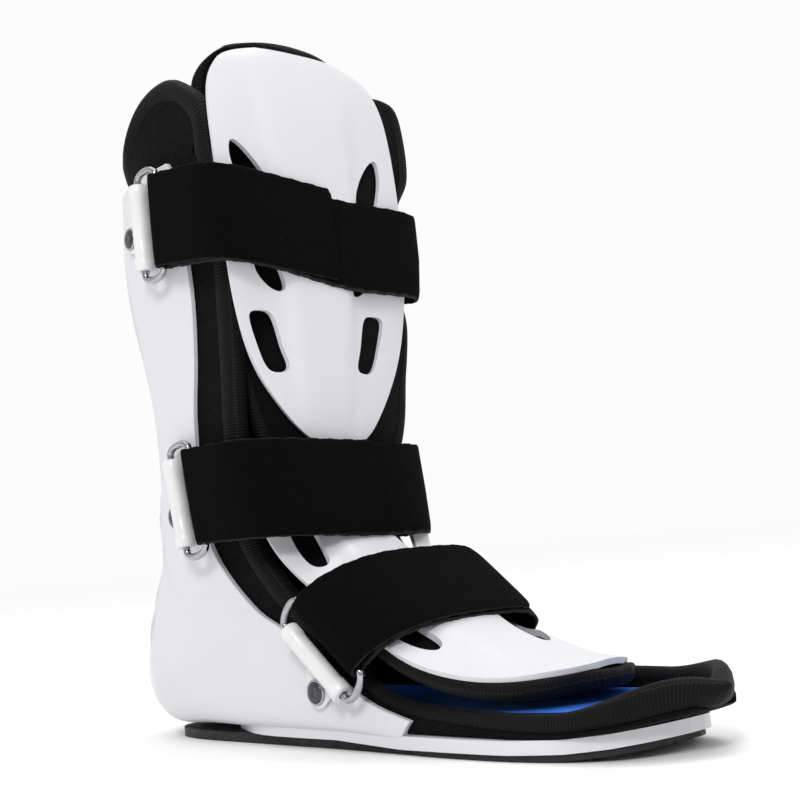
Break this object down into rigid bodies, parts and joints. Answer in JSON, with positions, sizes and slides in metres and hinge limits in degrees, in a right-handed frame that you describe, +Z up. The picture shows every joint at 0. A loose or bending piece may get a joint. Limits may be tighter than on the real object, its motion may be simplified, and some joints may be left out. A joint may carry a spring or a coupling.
{
  "type": "foot drop brace",
  "caption": "Rigid ankle-foot brace boot: white moulded rear shell and footplate, black padded liner, blue insole, tongue, white front shells and straps folded back through wire rings.",
  "frame": {"origin": "middle of the base, on the ground", "axes": "+Z up, toes towards -Y, the side where the straps fold back towards -X"},
  "size_m": [0.145, 0.3338, 0.3456],
  "materials": {
    "shell_white": "glossy moulded white",
    "keeper_white": "glossy, slightly translucent white",
    "foam_black": "perforated foam fabric",
    "binding_black": "ribbed, sewn edge roll",
    "strap_black": "matte brushed loop",
    "foam_blue": "brushed foam",
    "rubber_black": "fine textured",
    "ring_chrome": "polished wire",
    "rivet_metal": "dark, slightly domed"
  },
  "bodies": {
    "root": {"rear_shell": "shell_white", "outsole": "rubber_black", "boot_liner": "foam_black", "liner_binding": "binding_black", "insole": "foam_blue", "tongue": "foam_black", "shin_shell": "shell_white", "instep_shell": "shell_white", "strap_calf": "strap_black", "ring_calf_near": "ring_chrome", "keeper_calf_near": "keeper_white", "rivet_calf_near": "rivet_metal", "ring_calf_far": "ring_chrome", "keeper_calf_far": "keeper_white", "rivet_calf_far": "rivet_metal", "strap_ankle": "strap_black", "ring_ankle_near": "ring_chrome", "keeper_ankle_near": "keeper_white", "rivet_ankle_near": "rivet_metal", "ring_ankle_far": "ring_chrome", "keeper_ankle_far": "keeper_white", "rivet_ankle_far": "rivet_metal", "strap_instep": "strap_black", "ring_instep_near": "ring_chrome", "keeper_instep_near": "keeper_white", "rivet_instep_near": "rivet_metal", "ring_instep_far": "ring_chrome", "keeper_instep_far": "keeper_white", "rivet_instep_far": "rivet_metal"}
  },
  "joints": []
}
